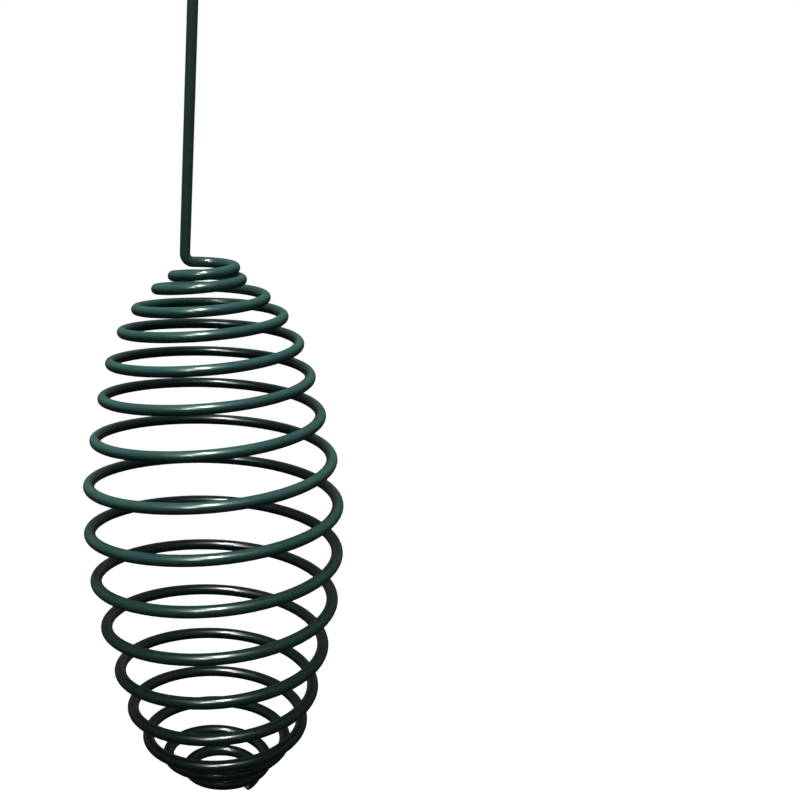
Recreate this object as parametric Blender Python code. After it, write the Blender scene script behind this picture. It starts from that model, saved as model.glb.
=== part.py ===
"""Coiled-wire suet feeder: one steel wire in a green plastic coat, bent into a hook, a stem and a barrel.

The feeder hangs from its hook. The origin is the hanging point, on the inside of the hook's top, and the
barrel's axis is the Z axis below it. The wire runs from the hook's free end to the cut end under the barrel,
and its coil winds clockwise on the way down, seen from above.
"""

import math

import bpy
from mathutils import Vector

# Driving dimensions, in metres

# The wire: a steel core inside its coat. Pieces that touch keep the seat gap.
WIRE_DIAMETER = 0.0035
STEEL_DIAMETER = 0.0024
SEAT_GAP = 0.0003

# The barrel coil. Its height is measured between the wire's centres at the two ends. From its top to its foot
# the turns step sideways towards +X, by the sidestep in all, half of it on each side of the axis.
COIL_DIAMETER = 0.0875
COIL_HEIGHT = 0.1813
COIL_SIDESTEP = 0.0018

# The stem and the tight bend at its foot, where it turns into the coil's first turn. The stem leans, and its
# top stands beside the axis, on the side of the hook's mouth.
STEM_HEIGHT = 0.09
STEM_TOP_OFFSET = 0.002
STEM_BEND_RADIUS = 0.003
STEM_RUN = 0.0003
STEM_EASE_RADIUS = 0.03

# The hook. Its neck swings out so that the hook's centre stands over the barrel's axis.
HOOK_RADIUS = 0.013
NECK_RADIUS = 0.008

# Angles and counts
COIL_TURNS = 16.44
UPPER_TURNS = 8
LOADING_TURNS = 2
COIL_START_ANGLE = math.radians(110)
HOOK_END_ANGLE = math.radians(205)
POINTS_PER_TURN = 20
BEND_STEP_ANGLE = math.radians(15)

# The barrel's outline, from the stem to the cut end: the turns wound so far, the coil's radius there as a
# share of its greatest radius, and how far it has come down as a share of its height.
OUTLINE_TURNS = (0, 0.5, 1, 1.5, 2, 2.75, 3.5, 4.5, 6, 8, 10, 12, 13.5, 14.5, 15.25, 15.85, COIL_TURNS)
RADIUS_SHARES = (
    0.224, 0.242, 0.247, 0.315, 0.41, 0.528, 0.618, 0.732, 0.847, 0.992, 0.962, 0.801, 0.656, 0.502, 0.381,
    0.284, 0.288,
)
DROP_SHARES = (
    0.0, 0.0116, 0.0237, 0.0314, 0.0493, 0.0751, 0.1027, 0.1552, 0.2512, 0.4169, 0.602, 0.785, 0.894, 0.9356,
    0.972, 0.985, 1.0,
)

# The tubes are six-sided. At this share of a round wire's radius, six flats enclose the round wire's area.
SECTION_SHARE = 1.1
FLAT_SHARE = math.cos(math.pi / 6)

# Sizes that follow from the driving dimensions
WIRE_RADIUS = WIRE_DIAMETER / 2
STEEL_RADIUS = STEEL_DIAMETER / 2
COIL_RADIUS = COIL_DIAMETER / 2 - WIRE_RADIUS
COAT_WALL = (WIRE_RADIUS - STEEL_RADIUS) * SECTION_SHARE * FLAT_SHARE - SEAT_GAP
NECK_ANGLE = math.acos((NECK_RADIUS - STEM_TOP_OFFSET) / (NECK_RADIUS + HOOK_RADIUS))
HOOK_CENTRE_Z = WIRE_RADIUS - HOOK_RADIUS
NECK_Z = HOOK_CENTRE_Z - (NECK_RADIUS + HOOK_RADIUS) * math.sin(NECK_ANGLE)
COIL_TOP_Z = NECK_Z - STEM_HEIGHT


def clear_scene():
    """Empties the scene, so that the model is the same each time the script runs."""
    for obj in list(bpy.data.objects):
        bpy.data.objects.remove(obj, do_unlink=True)


def arc(centre, radius, start_angle, end_angle):
    """Points of an arc in the XZ plane, its angles measured from +X towards +Z, both ends included."""
    steps = math.ceil(abs(end_angle - start_angle) / BEND_STEP_ANGLE)
    points = []
    for step in range(steps + 1):
        angle = start_angle + (end_angle - start_angle) * step / steps
        points.append(centre + radius * Vector((math.cos(angle), 0, math.sin(angle))))
    return points


def rounded_corner(before, corner, after, radius):
    """Points of the arc of that radius that turns the line from before to corner into the one on to after."""
    incoming = (corner - before).normalized()
    outgoing = (after - corner).normalized()
    turn = incoming.angle(outgoing)
    setback = radius * math.tan(turn / 2)
    inward = (outgoing - incoming).normalized()
    centre = corner + inward * (setback**2 + radius**2) ** 0.5
    spoke = corner - incoming * setback - centre
    across = incoming * radius
    steps = math.ceil(turn / BEND_STEP_ANGLE)
    points = []
    for step in range(steps + 1):
        angle = turn * step / steps
        points.append(centre + spoke * math.cos(angle) + across * math.sin(angle))
    return points


def slope_at(values, index):
    """The smooth curve's slope at one of the outline's rows: that of the line between the rows beside it."""
    behind = max(index - 1, 0)
    ahead = min(index + 1, len(values) - 1)
    return (values[ahead] - values[behind]) / (OUTLINE_TURNS[ahead] - OUTLINE_TURNS[behind])


def smooth_between(values, turns):
    """The value after that many turns, on a smooth curve through the values of all of the outline's rows."""
    index = 0
    while index < len(values) - 2 and turns >= OUTLINE_TURNS[index + 1]:
        index += 1
    span = OUTLINE_TURNS[index + 1] - OUTLINE_TURNS[index]
    part = (turns - OUTLINE_TURNS[index]) / span
    start, end = values[index], values[index + 1]
    start_slope = slope_at(values, index) * span
    end_slope = slope_at(values, index + 1) * span
    lift = 3 * (end - start) - 2 * start_slope - end_slope
    settle = 2 * (start - end) + start_slope + end_slope
    return start + part * (start_slope + part * (lift + part * settle))


def coil_point(turns):
    """The wire's centre after that many turns of the coil, counted down from the stem."""
    radius = COIL_RADIUS * smooth_between(RADIUS_SHARES, turns)
    drop_share = smooth_between(DROP_SHARES, turns)
    sidestep = COIL_SIDESTEP * (drop_share - 1 / 2)
    angle = COIL_START_ANGLE - 2 * math.pi * turns
    x = radius * math.cos(angle) + sidestep
    y = radius * math.sin(angle)
    return Vector((x, y, COIL_TOP_Z - COIL_HEIGHT * drop_share))


def coil_points():
    """Points along the barrel coil, at equal steps of its turns, down to the cut end."""
    steps = round(COIL_TURNS * POINTS_PER_TURN)
    return [coil_point(COIL_TURNS * step / steps) for step in range(steps + 1)]


def hanger_points(coil):
    """Points from the hook's free end, over the hook and down the stem, to the start of the coil."""
    hook_centre = Vector((0, 0, HOOK_CENTRE_Z))
    neck_centre = Vector((NECK_RADIUS - STEM_TOP_OFFSET, 0, NECK_Z))
    neck_foot = Vector((-STEM_TOP_OFFSET, 0, NECK_Z))
    heading = (coil[1] - coil[0]).normalized()
    stem_foot = coil[0] - heading * (STEM_RUN + STEM_BEND_RADIUS)
    hook = arc(hook_centre, HOOK_RADIUS, HOOK_END_ANGLE, -NECK_ANGLE)
    neck = arc(neck_centre, NECK_RADIUS, math.pi - NECK_ANGLE, math.pi)
    shoulder = neck_foot - Vector((0, 0, NECK_RADIUS))
    ease = rounded_corner(neck_foot, shoulder, stem_foot, STEM_EASE_RADIUS)
    bend = rounded_corner(shoulder, stem_foot, coil[0], STEM_BEND_RADIUS)
    return hook + neck[1:] + ease + bend


def divide(points, breaks):
    """Divides the wire midway along the chord after each break, with the two faces there a seat gap apart."""
    stretches = [[]]
    for index, point in enumerate(points):
        stretches[-1].append(point)
        if index in breaks:
            chord = points[index + 1] - point
            middle = point + chord / 2
            half_gap = chord.normalized() * (SEAT_GAP / 2)
            stretches[-1].append(middle - half_gap)
            stretches.append([middle + half_gap])
    return stretches


def least_gap(points):
    """The least clear space between two lengths of the wire that lie more than half a turn apart along it."""
    apart = POINTS_PER_TURN // 2
    least = min(
        (points[first] - points[second]).length
        for first in range(len(points))
        for second in range(first + apart, len(points))
    )
    return least - WIRE_DIAMETER


def steel_material():
    """Bright drawn steel, seen only where the wire is cut."""
    material = bpy.data.materials.new("galvanised_steel")
    material.use_nodes = True
    shader = material.node_tree.nodes["Principled BSDF"]
    shader.inputs["Base Color"].default_value = (0.55, 0.56, 0.56, 1)
    shader.inputs["Roughness"].default_value = 0.35
    shader.inputs["Metallic"].default_value = 1
    return material


def coat_material():
    """The dark green plastic coat, smooth and glossy."""
    material = bpy.data.materials.new("green_plastic_coat")
    material.use_nodes = True
    shader = material.node_tree.nodes["Principled BSDF"]
    shader.inputs["Base Color"].default_value = (0.025, 0.06, 0.055, 1)
    shader.inputs["Roughness"].default_value = 0.3
    shader.inputs["Metallic"].default_value = 0
    return material


def tube(name, points, radius, material, parent):
    """A six-sided tube along the points, placed from its parent."""
    curve = bpy.data.curves.new(name, "CURVE")
    curve.dimensions = "3D"
    curve.twist_mode = "MINIMUM"
    curve.bevel_depth = radius * SECTION_SHARE
    curve.bevel_resolution = 1
    spline = curve.splines.new("POLY")
    spline.points.add(len(points) - 1)
    for spline_point, point in zip(spline.points, points):
        spline_point.co = (*(point - parent.location), 1)
    spline.use_smooth = True
    curve.materials.append(material)
    obj = bpy.data.objects.new(name, curve)
    obj.parent = parent
    bpy.context.scene.collection.objects.link(obj)
    return obj


def steel_core(name, points, material, parent):
    """A length of the steel wire, closed at both ends."""
    core = tube(name, points, STEEL_RADIUS, material, parent)
    core.data.use_fill_caps = True


def plastic_coat(name, points, material, parent):
    """The coat on a length of the wire: an open tube whose wall is set inwards, with a bore for the steel."""
    coat = tube(name, points, WIRE_RADIUS, material, parent)
    wall = coat.modifiers.new("wall", "SOLIDIFY")
    wall.thickness = COAT_WALL
    wall.offset = -1
    wall.use_even_offset = True
    wall.use_rim = True


def joint_empty(name, height):
    """An empty on the barrel's axis, which carries the pieces that move together."""
    empty = bpy.data.objects.new(name, None)
    empty.location = (0, 0, height)
    bpy.context.scene.collection.objects.link(empty)
    return empty


def build():
    """Makes the feeder's wire: hanger, upper coil, loading turns and lower coil, each a core in its coat."""
    clear_scene()
    coil = coil_points()
    hanger = hanger_points(coil)
    wire = hanger + coil
    run_end = len(hanger) - 1
    upper_end = len(hanger) + UPPER_TURNS * POINTS_PER_TURN
    loading_end = upper_end + LOADING_TURNS * POINTS_PER_TURN
    hanger_part, upper_part, loading_part, lower_part = divide(wire, (run_end, upper_end, loading_end))

    hung = joint_empty("hanging_point", 0)
    loading = joint_empty("loading_turns_top", loading_part[0].z)
    lower = joint_empty("coil_stretch_axis", lower_part[0].z)
    steel = steel_material()
    green = coat_material()
    for name, points, parent in (
        ("hook_and_stem", hanger_part, hung),
        ("upper_coil", upper_part, hung),
        ("loading_turns", loading_part, loading),
        ("lower_coil", lower_part, lower),
    ):
        steel_core(name + "_core", points, steel, parent)
        plastic_coat(name + "_coat", points, green, parent)
    print("least gap between turns, mm:", round(least_gap(wire) * 1000, 3))


build()
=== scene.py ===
"""The looks of a coiled-wire suet feeder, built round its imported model: steel in a green plastic coat."""

import math

import bpy
import numpy as np
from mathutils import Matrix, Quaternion, Vector


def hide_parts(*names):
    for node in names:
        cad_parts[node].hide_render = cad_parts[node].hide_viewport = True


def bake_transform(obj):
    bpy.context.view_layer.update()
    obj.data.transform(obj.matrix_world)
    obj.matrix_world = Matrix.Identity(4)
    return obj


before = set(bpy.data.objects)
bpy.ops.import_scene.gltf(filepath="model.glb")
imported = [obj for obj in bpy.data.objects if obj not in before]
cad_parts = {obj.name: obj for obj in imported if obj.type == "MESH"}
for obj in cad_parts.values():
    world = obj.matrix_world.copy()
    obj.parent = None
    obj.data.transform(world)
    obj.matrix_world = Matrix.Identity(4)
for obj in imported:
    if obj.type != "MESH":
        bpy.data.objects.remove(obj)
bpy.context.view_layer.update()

# The steel wire
# One length of hard-drawn spring steel, 2.4 mm thick, runs through the whole feeder. It is bent over for
# the hook, left straight for the stem, kinked at its foot and wound on a barrel-shaped former. It shows
# only at its cut ends.

STEEL_RADIUS = 0.0012
WIRE_RADIUS = 0.00175
HOOK_RADIUS = 0.013
HOOK_CENTRE = Vector((0, 0, WIRE_RADIUS - HOOK_RADIUS))
HOOK_END_ANGLE = math.radians(205)
NECK_RADIUS = 0.008
STEM_TOP_OFFSET = 0.002
NECK_ANGLE = math.acos((NECK_RADIUS - STEM_TOP_OFFSET) / (NECK_RADIUS + HOOK_RADIUS))
NECK_WAY = Vector((math.cos(NECK_ANGLE), 0, -math.sin(NECK_ANGLE)))
NECK_CENTRE = HOOK_CENTRE + (NECK_RADIUS + HOOK_RADIUS) * NECK_WAY
STEM_HEIGHT = 0.09
STEM_BEND_RADIUS = 0.003
STEM_RUN = 0.0003
STEM_EASE_RADIUS = 0.03
BARREL_RADIUS = 0.042
BARREL_HEIGHT = 0.1813
BARREL_SIDESTEP = 0.0018
BARREL_TOP = NECK_CENTRE.z - STEM_HEIGHT
BARREL_TURNS = 16.44
BARREL_START_ANGLE = math.radians(110)
# Rows of turns wound so far, radius as a share of the greatest, and drop as a share of the height
BARREL_OUTLINE = np.array((
    (0, 0.224, 0), (0.5, 0.242, 0.0116), (1, 0.247, 0.0237), (1.5, 0.315, 0.0314), (2, 0.41, 0.0493),
    (2.75, 0.528, 0.0751), (3.5, 0.618, 0.1027), (4.5, 0.732, 0.1552), (6, 0.847, 0.2512),
    (8, 0.992, 0.4169), (10, 0.962, 0.602), (12, 0.801, 0.785), (13.5, 0.656, 0.894),
    (14.5, 0.502, 0.9356), (15.25, 0.381, 0.972), (15.85, 0.284, 0.985), (BARREL_TURNS, 0.288, 1),
))
POINTS_PER_TURN = 72
BEND_STEP = math.radians(5)
STEM_STEP = 0.002
# The wire can be drawn thicker from the first of these heights to the second, apart from its ends
GAIN_FROM = -0.14
GAIN_FULL = -0.24
GAIN_END = 0.015
# Noise cells per metre, for its unevenness in thickness
UNEVENNESS_SCALE = 70.0
# The edge of a cut is rounded over this length, at these distances from the end
LIP_LENGTH = 0.00026
LIP_STEPS = (0.00002, 0.00006, 0.00011, 0.00018, LIP_LENGTH)


def arc(centre, radius, start_angle, end_angle):
    """Points of a bend in the hook's plane, its angles measured from +X towards +Z."""
    steps = math.ceil(abs(end_angle - start_angle) / BEND_STEP)
    angles = [start_angle + (end_angle - start_angle) * step / steps for step in range(steps + 1)]
    return [centre + radius * Vector((math.cos(angle), 0, math.sin(angle))) for angle in angles]


def rounded_corner(before, corner, after, radius):
    """Points of the bend of that radius that joins the straights on the two sides of a corner."""
    incoming = (corner - before).normalized()
    outgoing = (after - corner).normalized()
    turn = incoming.angle(outgoing)
    setback = radius * math.tan(turn / 2)
    centre = corner + (outgoing - incoming).normalized() * math.hypot(setback, radius)
    spoke = corner - incoming * setback - centre
    steps = math.ceil(turn / BEND_STEP)
    angles = [turn * step / steps for step in range(steps + 1)]
    return [centre + spoke * math.cos(angle) + incoming * radius * math.sin(angle) for angle in angles]


def straight(start, end):
    """Points between two ends of a straight, which are left out."""
    steps = math.ceil((end - start).length / STEM_STEP)
    return [start.lerp(end, step / steps) for step in range(1, steps)]


def outline_at(turns, column):
    """A column of the barrel's outline after that many turns, on a smooth curve through its rows."""
    at, values = BARREL_OUTLINE[:, 0], BARREL_OUTLINE[:, column]
    slopes = np.empty(len(at))
    slopes[1:-1] = (values[2:] - values[:-2]) / (at[2:] - at[:-2])
    slopes[0] = (values[1] - values[0]) / (at[1] - at[0])
    slopes[-1] = (values[-1] - values[-2]) / (at[-1] - at[-2])
    row = np.clip(np.searchsorted(at, turns, side="right") - 1, 0, len(at) - 2)
    span = at[row + 1] - at[row]
    part = (turns - at[row]) / span
    rise = values[row + 1] - values[row]
    leaving, arriving = slopes[row] * span, slopes[row + 1] * span
    lift = 3 * rise - 2 * leaving - arriving
    settle = leaving + arriving - 2 * rise
    return values[row] + part * (leaving + part * (lift + part * settle))


def barrel_points():
    """Points along the barrel coil, which winds clockwise on the way down, seen from above."""
    turns = np.linspace(0, BARREL_TURNS, round(BARREL_TURNS * POINTS_PER_TURN) + 1)
    radius = BARREL_RADIUS * outline_at(turns, 1)
    drop_share = outline_at(turns, 2)
    angle = BARREL_START_ANGLE - 2 * math.pi * turns
    x = radius * np.cos(angle) + BARREL_SIDESTEP * (drop_share - 1 / 2)
    y = radius * np.sin(angle)
    return [Vector(point) for point in zip(x, y, BARREL_TOP - BARREL_HEIGHT * drop_share)]


def hanger_points(barrel):
    """Points of the hook, the stem and the kink at its foot, on to the first of the barrel's points."""
    heading = (barrel[1] - barrel[0]).normalized()
    neck_foot = NECK_CENTRE - Vector((NECK_RADIUS, 0, 0))
    shoulder = neck_foot - Vector((0, 0, NECK_RADIUS))
    stem_foot = barrel[0] - heading * (STEM_RUN + STEM_BEND_RADIUS)
    hook = arc(HOOK_CENTRE, HOOK_RADIUS, HOOK_END_ANGLE, -NECK_ANGLE)
    neck = arc(NECK_CENTRE, NECK_RADIUS, math.pi - NECK_ANGLE, math.pi)
    ease = rounded_corner(neck_foot, shoulder, stem_foot, STEM_EASE_RADIUS)
    kink = rounded_corner(shoulder, stem_foot, barrel[0], STEM_BEND_RADIUS)
    return hook + neck[1:] + straight(neck[-1], ease[0]) + ease + straight(ease[-1], kink[0]) + kink


def finer_ends(points):
    """The same points, with more of them close to both ends, where the edges of the cuts are rounded."""
    ends = []
    for end, beside in (points[:2], points[:-3:-1]):
        ends.append([end.lerp(beside, step / (beside - end).length) for step in LIP_STEPS])
    return [points[0], *ends[0], *points[1:-1], *reversed(ends[1]), points[-1]]


BARREL = barrel_points()
HANGER = hanger_points(BARREL)
HANGER_LENGTH = sum((after - before).length for before, after in zip(HANGER, HANGER[1:]))
WIRE = finer_ends(HANGER + BARREL)


def add_node(tree, kind, **settings):
    """A new node of a Geometry Nodes tree, with its settings."""
    node = tree.nodes.new(kind)
    for name, value in settings.items():
        setattr(node, name, value)
    return node


def drawn_wire_tree():
    """Geometry Nodes that draw a round wire along a centreline, a little uneven in thickness. They note on
    its skin where each point lies on the straight wire, how far it faces up and away from the barrel's
    axis, and how high the wire's middle is there."""
    tree = bpy.data.node_groups.new("drawn_wire", "GeometryNodeTree")
    # The unevenness, the foot gain and the lip width are shares of the radius
    sockets = (
        ("Centreline", "INPUT", "NodeSocketGeometry"),
        ("Radius", "INPUT", "NodeSocketFloat"),
        ("Sides", "INPUT", "NodeSocketInt"),
        ("Unevenness", "INPUT", "NodeSocketFloat"),
        ("Unevenness Scale", "INPUT", "NodeSocketFloat"),
        ("Foot Gain", "INPUT", "NodeSocketFloat"),
        ("Gain From", "INPUT", "NodeSocketFloat"),
        ("Gain Full", "INPUT", "NodeSocketFloat"),
        ("Gain End", "INPUT", "NodeSocketFloat"),
        ("Lip Length", "INPUT", "NodeSocketFloat"),
        ("Lip Width", "INPUT", "NodeSocketFloat"),
        ("Hanger Length", "INPUT", "NodeSocketFloat"),
        ("Closed Ends", "INPUT", "NodeSocketBool"),
        ("Finish", "INPUT", "NodeSocketMaterial"),
        ("Wire", "OUTPUT", "NodeSocketGeometry"),
    )
    for name, way, kind in sockets:
        tree.interface.new_socket(name, in_out=way, socket_type=kind)
    given = add_node(tree, "NodeGroupInput").outputs
    made = add_node(tree, "NodeGroupOutput").inputs

    def put(node, **links):
        """Sets a node's inputs, by name or by i and number, to values or links. Gives its outputs."""
        for name, source in links.items():
            key = int(name[1:]) if name[1:].isdigit() else name.replace("_", " ")
            socket = node.inputs[key]
            if isinstance(source, bpy.types.NodeSocket):
                tree.links.new(source, socket)
            else:
                socket.default_value = source
        return node.outputs

    def maths(operation, *values):
        """The result of a Math node on values or links."""
        node = add_node(tree, "ShaderNodeMath", operation=operation)
        return put(node, **{f"i{index}": value for index, value in enumerate(values)})[0]

    def vector_maths(operation, *values):
        """The result of a Vector Math node on vectors or links."""
        node = add_node(tree, "ShaderNodeVectorMath", operation=operation)
        outputs = put(node, **{f"i{index}": value for index, value in enumerate(values)})
        return outputs["Value" if operation == "DOT_PRODUCT" else "Vector"]

    def ramp(value, low, high):
        """A smooth climb from 0 at the low value to 1 at the high one."""
        node = add_node(tree, "ShaderNodeMapRange", interpolation_type="SMOOTHSTEP")
        return put(node, Value=value, From_Min=low, From_Max=high)[0]

    # Along the centreline: the length so far, the rounded edge at each end, a slow unevenness, and the gain
    # towards the foot
    along = add_node(tree, "GeometryNodeSplineParameter").outputs["Length"]
    whole = add_node(tree, "GeometryNodeSplineLength").outputs["Length"]
    from_end = maths("MINIMUM", along, maths("SUBTRACT", whole, along))
    short_of_lip = maths("SUBTRACT", 1, maths("MINIMUM", maths("DIVIDE", from_end, given["Lip Length"]), 1))
    fall = maths("SUBTRACT", 1, maths("SQRT", maths("SUBTRACT", 1, maths("POWER", short_of_lip, 2))))
    rounding = maths("SUBTRACT", 1, maths("MULTIPLY", fall, given["Lip Width"]))
    noise = add_node(tree, "ShaderNodeTexNoise", noise_dimensions="1D")
    slow = put(noise, W=along, Scale=given["Unevenness Scale"], Detail=1.0)[0]
    uneven = maths("MULTIPLY_ADD", maths("SUBTRACT", slow, 0.5), given["Unevenness"], 1)
    position = add_node(tree, "GeometryNodeInputPosition").outputs[0]
    depth = put(add_node(tree, "ShaderNodeSeparateXYZ"), i0=position)[2]
    low_down = ramp(depth, given["Gain From"], given["Gain Full"])
    gaining = maths("MULTIPLY", low_down, ramp(from_end, 0, given["Gain End"]))
    thicker = maths("MULTIPLY_ADD", gaining, given["Foot Gain"], 1)
    share = maths("MULTIPLY", maths("MULTIPLY", rounding, uneven), thicker)

    centre_kept = add_node(tree, "GeometryNodeCaptureAttribute", domain="POINT")
    centre_kept.capture_items.new("VECTOR", "centre")
    centre_kept.capture_items.new("FLOAT", "along")
    centreline = put(centre_kept, Geometry=given["Centreline"], centre=position, along=along)

    # Round the wire: a circle that keeps its own flat coordinates
    ring = add_node(tree, "GeometryNodeCurvePrimitiveCircle")
    circle = put(ring, Resolution=given["Sides"], Radius=given["Radius"])
    across_kept = add_node(tree, "GeometryNodeCaptureAttribute", domain="POINT")
    across_kept.capture_items.new("VECTOR", "across")
    across = put(across_kept, Geometry=circle["Curve"], across=position)

    sweep = add_node(tree, "GeometryNodeCurveToMesh")
    put(sweep, i0=centreline["Geometry"], i1=across["Geometry"])
    skin = put(sweep, Fill_Caps=given["Closed Ends"], Scale=share)

    # What the skin notes for the finishes
    apart = put(add_node(tree, "ShaderNodeSeparateXYZ"), i0=across["across"])
    together = add_node(tree, "ShaderNodeCombineXYZ")
    straight_place = put(together, X=apart[0], Y=apart[1], Z=centreline["along"])[0]
    spoke = vector_maths("NORMALIZE", vector_maths("SUBTRACT", position, centreline["centre"]))
    away = vector_maths("NORMALIZE", vector_maths("MULTIPLY", centreline["centre"], (1, 1, 0)))
    in_barrel = maths("GREATER_THAN", centreline["along"], given["Hanger Length"])
    outward = maths("MULTIPLY", vector_maths("DOT_PRODUCT", spoke, away), in_barrel)
    upward = vector_maths("DOT_PRODUCT", spoke, (0, 0, 1))
    height = put(add_node(tree, "ShaderNodeSeparateXYZ"), i0=centreline["centre"])[2]
    for name, kind, value in (
        ("straight_wire", "FLOAT_VECTOR", straight_place),
        ("outward", "FLOAT", outward),
        ("upward", "FLOAT", upward),
        ("centre_height", "FLOAT", height),
    ):
        store = add_node(tree, "GeometryNodeStoreNamedAttribute", data_type=kind, domain="POINT")
        skin = put(store, Geometry=skin[0], Name=name, Value=value)
    smooth = put(add_node(tree, "GeometryNodeSetShadeSmooth"), Geometry=skin[0])
    real = put(add_node(tree, "GeometryNodeRealizeInstances"), Geometry=smooth[0])
    finished = put(add_node(tree, "GeometryNodeSetMaterial"), Geometry=real[0], Material=given["Finish"])
    tree.links.new(finished[0], made["Wire"])
    return tree


DRAWN_WIRE = drawn_wire_tree()


def draw_wire(name, material, **sizes):
    """A plain mesh drawn along the wire's centreline, with the tree's other inputs given by name."""
    sizes |= {
        "Lip Length": LIP_LENGTH, "Hanger Length": HANGER_LENGTH, "Unevenness Scale": UNEVENNESS_SCALE,
        "Gain From": GAIN_FROM, "Gain Full": GAIN_FULL, "Gain End": GAIN_END,
    }
    curve = bpy.data.curves.new(name + "_centreline", "CURVE")
    curve.dimensions = "3D"
    curve.twist_mode = "MINIMUM"
    spline = curve.splines.new("POLY")
    spline.points.add(len(WIRE) - 1)
    for point, place in zip(spline.points, WIRE):
        point.co = (*place, 1)
    line = bpy.data.objects.new(name + "_centreline", curve)
    bpy.context.scene.collection.objects.link(line)
    drawing = line.modifiers.new("drawing", "NODES")
    drawing.node_group = DRAWN_WIRE
    sockets = DRAWN_WIRE.interface.items_tree
    inputs = {socket.name: socket.identifier for socket in sockets if socket.in_out == "INPUT"}
    drawing[inputs["Finish"]] = material
    for socket_name, value in sizes.items():
        drawing[inputs[socket_name.replace("_", " ")]] = value
    evaluated = line.evaluated_get(bpy.context.evaluated_depsgraph_get())
    mesh = bpy.data.meshes.new_from_object(evaluated)
    bpy.data.objects.remove(line)
    mesh.name = name
    piece = bpy.data.objects.new(name, mesh)
    bpy.context.scene.collection.objects.link(piece)
    return piece


def stretch_with_coil(piece):
    """Bakes the piece's placement into its mesh and reads the height of the wire's centre at each point."""
    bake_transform(piece)
    heights = np.empty(len(piece.data.vertices), np.float32)
    piece.data.attributes["centre_height"].data.foreach_get("value", heights)


class Signal:
    """A node's output in a material. Adding, subtracting or multiplying signals adds a Math node."""

    def __init__(self, tree, socket=None):
        self.tree = tree
        self.socket = socket

    def node(self, kind, settings=None, inputs=None, output=0):
        """Adds a node, its settings first and then the values or signals of its inputs. Gives an output."""
        node = self.tree.nodes.new(kind)
        for name, value in (settings or {}).items():
            setattr(node, name, value)
        for name, value in (inputs or {}).items():
            if isinstance(value, Signal):
                self.tree.links.new(value.socket, node.inputs[name])
            else:
                node.inputs[name].default_value = value
        return Signal(self.tree, node.outputs[output])

    def math(self, operation, *values):
        """A Math node on values or signals."""
        return self.node("ShaderNodeMath", {"operation": operation}, dict(enumerate(values)))

    def ramp(self, low, high):
        """A smooth climb from 0 at the low value to 1 at the high one."""
        settings = {"interpolation_type": "SMOOTHSTEP"}
        return self.node("ShaderNodeMapRange", settings, {"Value": self, "From Min": low, "From Max": high})

    def __add__(self, other):
        return self.math("ADD", self, other)

    def __sub__(self, other):
        return self.math("SUBTRACT", self, other)

    def __rsub__(self, other):
        return self.math("SUBTRACT", other, self)

    def __mul__(self, other):
        return self.math("MULTIPLY", self, other)

    __radd__ = __add__
    __rmul__ = __mul__


def new_finish(name):
    """A new material, its Principled shader, and a signal to start its nodes from."""
    material = bpy.data.materials.new(name)
    material.use_nodes = True
    return material, material.node_tree.nodes["Principled BSDF"], Signal(material.node_tree)


def feed(shader, **signals):
    """Links signals to the shader's inputs, by name."""
    for name, signal in signals.items():
        signal.tree.links.new(signal.socket, shader.inputs[name.replace("_", " ")])


def mix_colours(share, first, second):
    """A colour between two, where each is plain or a signal."""
    settings = {"data_type": "RGBA", "blend_type": "MIX"}
    return share.node("ShaderNodeMix", settings, {0: share, 6: first, 7: second}, output=2)


STEEL_GREY = (0.06, 0.056, 0.053, 1)
TARNISH_BROWN = (0.022, 0.018, 0.016, 1)
# Noise cells per metre, across and along the wire for the marks of drawing
DRAWING_MARKS = (9000, 9000, 60)
TARNISH_SPOTS = 1500.0
TARNISH_SPREAD = (0.35, 0.7)
STEEL_ROUGHNESS = 0.3
MARK_ROUGHNESS = 0.25
MARK_DEPTH = 0.00002
MARK_STRENGTH = 0.4

steel_finish, shader, nodes = new_finish("hard_drawn_steel")
place = nodes.node("ShaderNodeAttribute", {"attribute_name": "straight_wire"}, output="Vector")
drawn_place = nodes.node("ShaderNodeMapping", None, {"Vector": place, "Scale": DRAWING_MARKS})
marks = nodes.node("ShaderNodeTexNoise", None, {"Vector": drawn_place, "Scale": 1.0, "Detail": 3.0})
tarnish = nodes.node("ShaderNodeTexNoise", None, {"Vector": place, "Scale": TARNISH_SPOTS, "Detail": 4.0})
colour = mix_colours(tarnish.ramp(*TARNISH_SPREAD), STEEL_GREY, TARNISH_BROWN)
relief = {"Height": marks, "Distance": MARK_DEPTH, "Strength": MARK_STRENGTH}
feed(shader, Base_Color=colour, Roughness=STEEL_ROUGHNESS + MARK_ROUGHNESS * marks)
shader.inputs["Metallic"].default_value = 1.0
feed(shader, Normal=nodes.node("ShaderNodeBump", None, relief))

steel_wire = draw_wire(
    "steel_wire", steel_finish, Radius=STEEL_RADIUS, Sides=16, Unevenness=0.0, Lip_Width=0.15,
    Closed_Ends=True,
)
stretch_with_coil(steel_wire)
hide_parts("hook_and_stem_core", "upper_coil_core", "loading_turns_core", "lower_coil_core")

# The green plastic coat
# A skin of dark green plastic, about 0.55 mm thick, is melted onto the bent wire as it hangs by its hook,
# so it is a little thicker on the lower turns. It is smooth and glossy, and ends where the wire is cut.

COAT_WALL = 0.00054
FOOT_GAIN = 0.13
COAT_UNEVENNESS = 0.03
OUTSIDE_GREEN = (0.036, 0.1, 0.085, 1)
DEEP_GREEN = (0.028, 0.084, 0.072, 1)
STEM_GREEN = (0.036, 0.078, 0.065, 1)
# Painted shade: the green darkens to nearly black towards the foot
FOOT_SHADE_GREEN = (0.003, 0.011, 0.0095, 1)
# Painted shade: the green of the inner side and underside, below the top turns
INSIDE_SHADE_GREEN = (0.008, 0.02, 0.018, 1)
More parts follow.
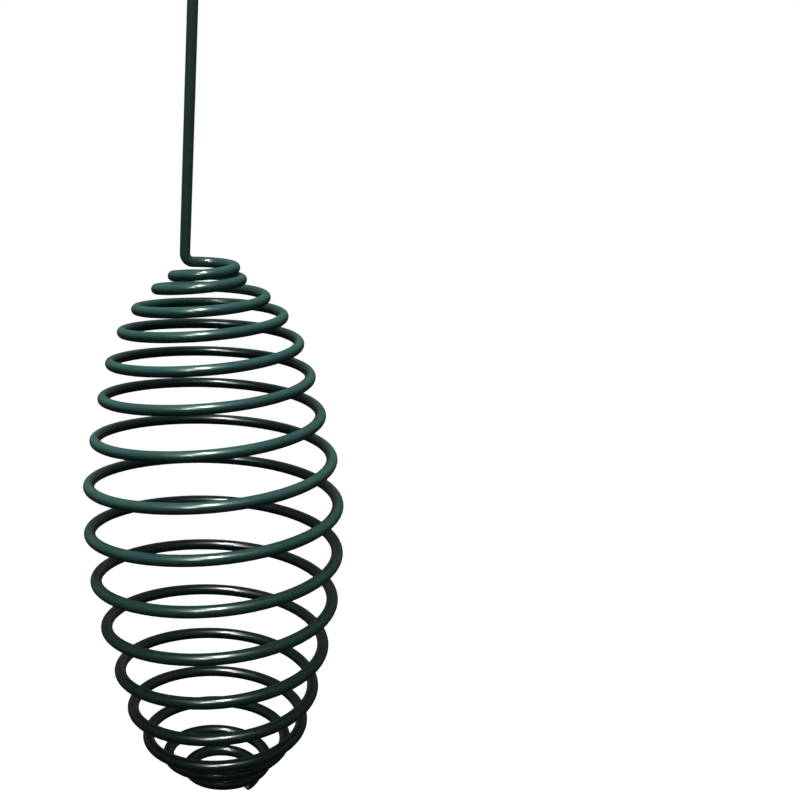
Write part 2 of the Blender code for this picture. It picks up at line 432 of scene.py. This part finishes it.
# Each of these sets in from its first height to its second: the stem's green, the painted shade that makes
# the foot nearly black, the painted shade of the wire's inner side and underside, and the stronger gloss
# there
STEM_HEIGHTS = (-0.12, -0.11)
FOOT_SHADE_HEIGHTS = (-0.205, -0.3)
SHADE_HEIGHTS = (-0.115, -0.15)
INNER_GLOSS_HEIGHTS = (-0.125, -0.16)
# How far the skin faces outwards or upwards, from -1 to 1, where its full green and its gloss start and
# end; below that the green takes painted shade. A start below -1 leaves the very underside a little of its
# green
LIT_OUTWARD = (-0.8, 0.2)
LIT_UPWARD = (-1.3, 0.9)
GLOSSY_INWARD = (0.2, -0.8)
GLOSSY_UPWARD = (-0.25, 0.9)
# Noise cells per metre, across and along the wire for the grain
GRAIN = (2600, 2600, 45)
DIMPLES = 500.0
PATCHES = 55.0
PATCH_SPREAD = (0.3, 0.7)
SKIN_ROUGHNESS = 0.3
PATCH_ROUGHNESS = 0.08
GRAIN_ROUGHNESS = 0.05
LEAST_GLOSS = 0.02
GLOSS = 0.22
INNER_GLOSS = 0.9
GLOSS_ROUGHNESS = 0.22
SKIN_RELIEF = 0.00003
RELIEF_STRENGTH = 0.15

coat_finish, shader, nodes = new_finish("green_plastic_coat")
place = nodes.node("ShaderNodeAttribute", {"attribute_name": "straight_wire"}, output="Vector")
outward = nodes.node("ShaderNodeAttribute", {"attribute_name": "outward"}, output="Fac")
upward = nodes.node("ShaderNodeAttribute", {"attribute_name": "upward"}, output="Fac")
height = nodes.node("ShaderNodeAttribute", {"attribute_name": "centre_height"}, output="Fac")
drawn_place = nodes.node("ShaderNodeMapping", None, {"Vector": place, "Scale": GRAIN})
grain = nodes.node("ShaderNodeTexNoise", None, {"Vector": drawn_place, "Scale": 1.0, "Detail": 2.0})
dimples = nodes.node("ShaderNodeTexNoise", None, {"Vector": place, "Scale": DIMPLES, "Detail": 1.0})
patches = nodes.node("ShaderNodeTexNoise", None, {"Vector": place, "Scale": PATCHES, "Detail": 3.0})

# The colour: patchy on the outside, greyer on the stem, with painted shade nearly black at the foot and
# dark on the inner side and underside
colour = mix_colours(patches.ramp(*PATCH_SPREAD), DEEP_GREEN, OUTSIDE_GREEN)
colour = mix_colours(height.ramp(*STEM_HEIGHTS), colour, STEM_GREEN)
# Painted shade, darkening the green to nearly black towards the foot
colour = mix_colours(height.ramp(*FOOT_SHADE_HEIGHTS), colour, FOOT_SHADE_GREEN)
# Painted shade: darker on the inner side and underside, below the top turns
lit = outward.ramp(*LIT_OUTWARD) * upward.ramp(*LIT_UPWARD)
colour = mix_colours((1 - lit) * height.ramp(*SHADE_HEIGHTS), colour, INSIDE_SHADE_GREEN)
roughness = SKIN_ROUGHNESS + PATCH_ROUGHNESS * patches + GRAIN_ROUGHNESS * grain
feed(shader, Base_Color=colour, Roughness=roughness)

# The gloss: strongest on top and where the skin faces the eye, and stronger on the inner side
facing = 1 - nodes.node("ShaderNodeLayerWeight", None, {"Blend": 0.5}, output="Facing")
inner = outward.ramp(*GLOSSY_INWARD) * height.ramp(*INNER_GLOSS_HEIGHTS)
gloss = facing * upward.ramp(*GLOSSY_UPWARD) * (1 + INNER_GLOSS * inner)
feed(shader, Coat_Weight=LEAST_GLOSS + GLOSS * gloss)
shader.inputs["Specular IOR Level"].default_value = 0.0
shader.inputs["Coat Roughness"].default_value = GLOSS_ROUGHNESS
skin = 0.5 * grain + 0.5 * dimples
relief = {"Height": skin, "Distance": SKIN_RELIEF, "Strength": RELIEF_STRENGTH}
feed(shader, Normal=nodes.node("ShaderNodeBump", None, relief))

green_coat = draw_wire(
    "green_coat", coat_finish, Radius=WIRE_RADIUS, Sides=24, Unevenness=COAT_UNEVENNESS,
    Foot_Gain=FOOT_GAIN, Lip_Width=0.06, Closed_Ends=False,
)
wall = green_coat.modifiers.new("wall", "SOLIDIFY")
wall.thickness = COAT_WALL
wall.offset = -1
wall.use_rim = True
mesh = bpy.data.meshes.new_from_object(green_coat.evaluated_get(bpy.context.evaluated_depsgraph_get()))
green_coat.modifiers.remove(wall)
green_coat.data = mesh
mesh.name = "green_coat"
stretch_with_coil(green_coat)
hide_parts("hook_and_stem_coat", "upper_coil_coat", "loading_turns_coat", "lower_coil_coat")

# The floor and the backdrop
# The feeder hangs in front of plain white. A pale floor lies well below it and takes its shadow, and the
# world is the white all round. Both are at full white, or nearly so, to the camera and in the gloss.

FLOOR_HEIGHT = -1.2
FLOOR_SIZE = 30
FLOOR_GREY = (0.8, 0.8, 0.8, 1)
FLOOR_GLOW = (0.96, 0.96, 0.96, 1)
FLOOR_ROUGHNESS = 0.9
NO_GLOW = (0, 0, 0, 1)
WORLD_WHITE = (1, 1, 1, 1)
WORLD_LIGHT = 0.03


def seen_as_backdrop(nodes):
    """1 for rays from the camera and those that come by way of gloss or glass, else 0."""
    kinds = ("Is Camera Ray", "Is Glossy Ray", "Is Transmission Ray")
    camera, glossy, transmission = (nodes.node("ShaderNodeLightPath", output=kind) for kind in kinds)
    return nodes.math("MINIMUM", camera + glossy + transmission, 1.0)


floor_mesh = bpy.data.meshes.new("floor")
reach = FLOOR_SIZE / 2
square = ((-reach, -reach), (reach, -reach), (reach, reach), (-reach, reach))
floor_mesh.from_pydata([(x, y, FLOOR_HEIGHT) for x, y in square], [], [(0, 1, 2, 3)])
floor = bpy.data.objects.new("floor", floor_mesh)
bpy.context.scene.collection.objects.link(floor)
floor_finish, shader, nodes = new_finish("pale_floor")
shader.inputs["Base Color"].default_value = FLOOR_GREY
shader.inputs["Roughness"].default_value = FLOOR_ROUGHNESS
shader.inputs["Emission Strength"].default_value = 1.0
feed(shader, Emission_Color=mix_colours(seen_as_backdrop(nodes), NO_GLOW, FLOOR_GLOW))
floor_mesh.materials.append(floor_finish)

world = bpy.data.worlds.new("white_room")
bpy.context.scene.world = world
world.use_nodes = True
nodes = Signal(world.node_tree)
white = world.node_tree.nodes["Background"]
white.inputs["Color"].default_value = WORLD_WHITE
strength = WORLD_LIGHT + (1 - WORLD_LIGHT) * seen_as_backdrop(nodes)
world.node_tree.links.new(strength.socket, white.inputs["Strength"])

# The lamps
# The light on the green is that of a wide soft box overhead, with a weaker one above the camera. The
# others are seen only in the gloss: two narrow ones give each turn its short white highlights, and a dim
# wide one a pale blue sheen.

LAMPS_AIM = Vector((0, 0, -0.20017))
WHITE_LIGHT = (1, 1, 1)
BLUE_LIGHT = (0.7, 0.88, 1)
# In degrees, metres and watts. An azimuth is measured from the camera's side, to the right seen from there
LAMPS = (
    # name, azimuth, elevation, distance, roll, width, height, power, colour, seen only in the gloss
    ("top_box", -90, 86, 1.0, 0, 0.4, 0.4, 9.4, WHITE_LIGHT, False),
    ("front_box", 0, 60, 0.7, 0, 0.3, 0.3, 2.2, WHITE_LIGHT, False),
    ("front_strip", -8, 58, 0.62, 14, 0.06, 0.36, 34.0, WHITE_LIGHT, True),
    ("left_strip", -22, 36, 0.62, 0, 0.08, 0.25, 12.0, WHITE_LIGHT, True),
    ("wide_sheen", -12, 50, 0.62, 0, 0.7, 0.4, 7.0, BLUE_LIGHT, True),
)
for name, azimuth, elevation, distance, roll, width, height, power, colour, gloss_only in LAMPS:
    lamp = bpy.data.lights.new(name, "AREA")
    lamp.shape = "RECTANGLE"
    lamp.size = width
    lamp.size_y = height
    lamp.energy = power
    lamp.color = colour
    holder = bpy.data.objects.new(name, lamp)
    bpy.context.scene.collection.objects.link(holder)
    holder.visible_diffuse = not gloss_only
    holder.visible_glossy = gloss_only
    side, rise = math.radians(azimuth), math.radians(elevation)
    out = Vector((math.sin(side) * math.cos(rise), -math.cos(side) * math.cos(rise), math.sin(rise)))
    holder.location = LAMPS_AIM + out * distance
    holder.rotation_mode = "QUATERNION"
    rolled = Quaternion((0, 0, 1), math.radians(roll))
    holder.rotation_quaternion = (-out).to_track_quat("-Z", "Y") @ rolled

# The camera
# It looks slightly down at the barrel from close by, as in the photograph, where the feeder stands left of
# the middle and its stem runs out over the top edge.

CAMERA_PLACE = Vector((0, -0.3524, -0.0875))
CAMERA_AIM = Vector((0.001, 0, -0.16623))
CAMERA_ROLL = math.radians(1.52)
IMAGE_SIZE = 800
FOCAL_LENGTH_IN_PIXELS = 1092
PRINCIPAL_COLUMN = 213.5

camera = bpy.data.cameras.new("camera")
camera.sensor_width = 36
camera.lens = camera.sensor_width * FOCAL_LENGTH_IN_PIXELS / IMAGE_SIZE
camera.shift_x = (IMAGE_SIZE / 2 - PRINCIPAL_COLUMN) / IMAGE_SIZE
camera.clip_start = 0.01
holder = bpy.data.objects.new("camera", camera)
bpy.context.scene.collection.objects.link(holder)
holder.location = CAMERA_PLACE
holder.rotation_mode = "QUATERNION"
aim = (CAMERA_AIM - CAMERA_PLACE).to_track_quat("-Z", "Y")
holder.rotation_quaternion = aim @ Quaternion((0, 0, 1), -CAMERA_ROLL)
bpy.context.scene.camera = holder
bpy.context.scene.view_settings.view_transform = "Standard"
